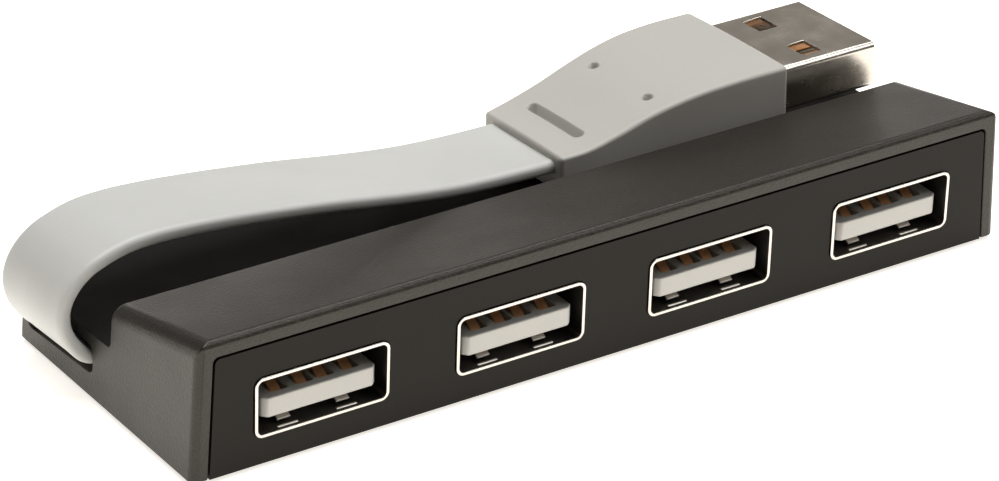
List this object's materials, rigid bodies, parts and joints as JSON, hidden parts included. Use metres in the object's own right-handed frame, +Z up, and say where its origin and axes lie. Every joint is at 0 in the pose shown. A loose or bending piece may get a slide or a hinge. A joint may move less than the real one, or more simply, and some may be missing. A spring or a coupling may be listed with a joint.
{
  "type": "usb hub",
  "caption": "Low wedge-shaped desktop hub with a row of front sockets and a short flat lead that folds back into a groove behind the ridge",
  "frame": {"origin": "on the standing surface, under the middle of the housing", "axes": "+X along the row of ports, towards the stored plug; ports open towards -Y; +Z up"},
  "size_m": [0.0872, 0.0306, 0.0144],
  "materials": {
    "housing_plastic": "fine spark-eroded texture",
    "panel_plastic": "smoother than the housing",
    "cover_plastic": "fine texture",
    "foot_rubber": "matt",
    "screw_steel": "zinc plated",
    "shell_nickel": "bright nickel on stamped steel",
    "tongue_plastic": "light grey insulator",
    "contact_copper": "stamped copper alloy",
    "board_laminate": "solder mask",
    "chip_resin": "moulded resin",
    "can_metal": "stamped can",
    "fuse_green": "coated",
    "capacitor_resin": "moulded resin",
    "wire_red": "insulation",
    "wire_white": "insulation",
    "wire_green": "insulation",
    "wire_black": "insulation",
    "cable_jacket": "smooth soft jacket",
    "boot_plastic": "satin moulded grip"
  },
  "bodies": {
    "housing": {"top_shell": "housing_plastic", "front_panel": "panel_plastic", "bottom_cover": "cover_plastic", "foot_1": "foot_rubber", "foot_2": "foot_rubber", "foot_3": "foot_rubber", "foot_4": "foot_rubber", "cover_screw_1": "screw_steel", "cover_screw_2": "screw_steel", "port_shell_1": "shell_nickel", "port_tongue_1": "tongue_plastic", "port_contact_1_1": "contact_copper", "port_contact_1_2": "contact_copper", "port_contact_1_3": "contact_copper", "port_contact_1_4": "contact_copper", "port_shell_2": "shell_nickel", "port_tongue_2": "tongue_plastic", "port_contact_2_1": "contact_copper", "port_contact_2_2": "contact_copper", "port_contact_2_3": "contact_copper", "port_contact_2_4": "contact_copper", "port_shell_3": "shell_nickel", "port_tongue_3": "tongue_plastic", "port_contact_3_1": "contact_copper", "port_contact_3_2": "contact_copper", "port_contact_3_3": "contact_copper", "port_contact_3_4": "contact_copper", "port_shell_4": "shell_nickel", "port_tongue_4": "tongue_plastic", "port_contact_4_1": "contact_copper", "port_contact_4_2": "contact_copper", "port_contact_4_3": "contact_copper", "port_contact_4_4": "contact_copper", "circuit_board": "board_laminate", "hub_controller": "chip_resin", "crystal": "can_metal", "voltage_regulator": "chip_resin", "polyfuse": "fuse_green", "tank_capacitor": "capacitor_resin", "port_capacitor": "capacitor_resin", "wire_red": "wire_red", "wire_white": "wire_white", "wire_green": "wire_green", "wire_black": "wire_black", "cable_exit": "cable_jacket", "cable_anchor": "cable_jacket"},
    "lead": {"cable_arm": "cable_jacket", "plug_boot": "boot_plastic", "plug_shell": "shell_nickel", "plug_insulator": "tongue_plastic", "plug_contact_1": "contact_copper", "plug_contact_2": "contact_copper", "plug_contact_3": "contact_copper", "plug_contact_4": "contact_copper"}
  },
  "joints": [
    {"name": "lead_lift", "type": "hinge", "parent": "housing", "child": "lead", "pos_m": [-0.0426, 0.00796, 0.00428], "axis": [0, -0.9986, 0.0523], "range_deg": [0, 90], "deforming": ["cable_exit"]}
  ]
}
